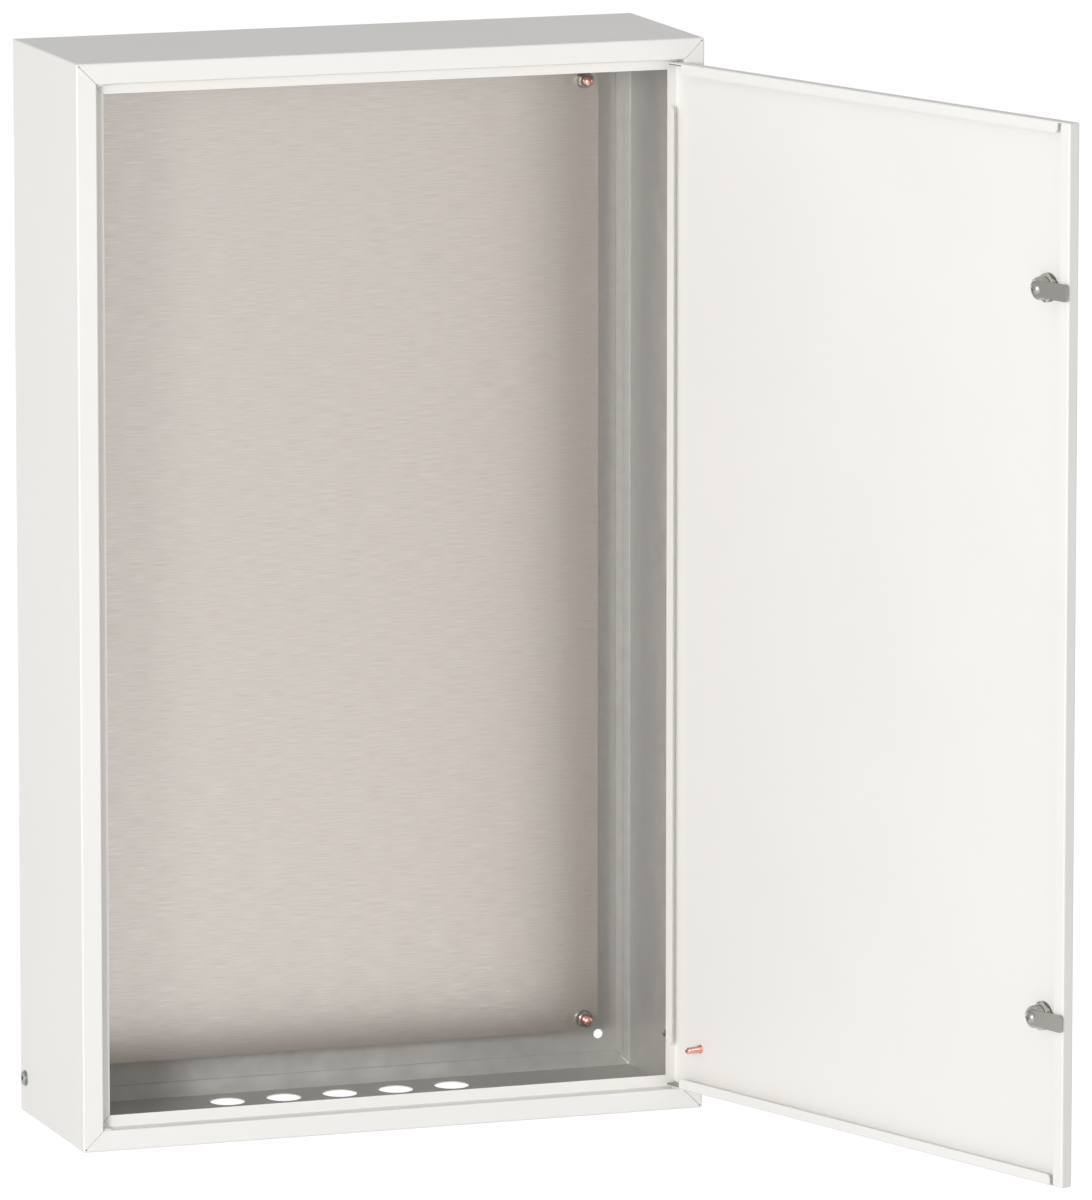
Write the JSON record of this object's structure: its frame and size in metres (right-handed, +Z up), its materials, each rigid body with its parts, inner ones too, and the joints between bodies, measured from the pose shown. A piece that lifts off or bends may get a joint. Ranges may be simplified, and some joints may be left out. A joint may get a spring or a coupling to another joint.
{
  "type": "load center enclosure",
  "caption": "Wall-mounted sheet-steel electrical enclosure with a mounting panel, cable entries and a hinged door with quarter-turn cam locks.",
  "frame": {"origin": "centre of the four wall-fixing holes, on the rear plane that lies on the wall", "axes": "+X to the right seen from the front, +Y into the wall, +Z up; rest pose is the door open 109.6 degrees"},
  "size_m": [0.7665, 0.7223, 1],
  "materials": {
    "powder_coated_steel": "fine-textured light grey powder coat",
    "galvanised_steel": "galvanised sheet with a fine horizontal grain",
    "zinc_plated_steel": "bright zinc plating",
    "copper_plated_steel": "copper plating",
    "zinc_die_cast": "satin zinc die-cast",
    "nickel_plated_zinc": "nickel plating",
    "nylon": "natural nylon"
  },
  "bodies": {
    "cabinet": {"left_wall": "powder_coated_steel", "right_wall": "powder_coated_steel", "top_wall": "powder_coated_steel", "bottom_wall": "powder_coated_steel", "back_panel": "powder_coated_steel", "mounting_panel": "galvanised_steel", "panel_studs": "copper_plated_steel", "panel_spacers": "zinc_plated_steel", "panel_washers": "zinc_plated_steel", "panel_nuts": "zinc_plated_steel", "upper_hinge_plate": "powder_coated_steel", "lower_hinge_plate": "powder_coated_steel", "upper_hinge_pin": "zinc_plated_steel", "lower_hinge_pin": "zinc_plated_steel", "lower_hinge_washer": "nylon", "spare_hinge_plates": "powder_coated_steel", "spare_hinge_plugs": "nylon", "earth_bolt": "zinc_plated_steel", "earth_bolt_washer": "zinc_plated_steel", "earth_bolt_nut": "zinc_plated_steel", "wall_earth_stud": "zinc_plated_steel"},
    "door": {"door_panel": "powder_coated_steel", "door_earth_stud": "copper_plated_steel", "upper_hinge_leaf": "zinc_plated_steel", "lower_hinge_leaf": "zinc_plated_steel", "upper_lock_housing": "zinc_die_cast", "upper_lock_washer": "zinc_plated_steel", "upper_lock_nut": "nickel_plated_zinc", "lower_lock_housing": "zinc_die_cast", "lower_lock_washer": "zinc_plated_steel", "lower_lock_nut": "nickel_plated_zinc"},
    "upper_lock_rotor": {"upper_lock_core": "nickel_plated_zinc", "upper_cam": "zinc_plated_steel", "upper_cam_screw": "zinc_plated_steel"},
    "lower_lock_rotor": {"lower_lock_core": "nickel_plated_zinc", "lower_cam": "zinc_plated_steel", "lower_cam_screw": "zinc_plated_steel"}
  },
  "joints": [
    {"name": "door_hinge", "type": "hinge", "parent": "cabinet", "child": "door", "pos_m": [0.2748, -0.194, 0], "axis": [0, 0, 1], "range_deg": [-109.6, 0.4]},
    {"name": "upper_lock_turn", "type": "hinge", "parent": "door", "child": "upper_lock_rotor", "pos_m": [0.45104, -0.6785, 0.328], "axis": [-0.9421, -0.3355, 0], "range_deg": [-90, 0]},
    {"name": "lower_lock_turn", "type": "hinge", "parent": "door", "child": "lower_lock_rotor", "pos_m": [0.45104, -0.6785, -0.328], "axis": [-0.9421, -0.3355, 0], "range_deg": [-90, 0]}
  ]
}
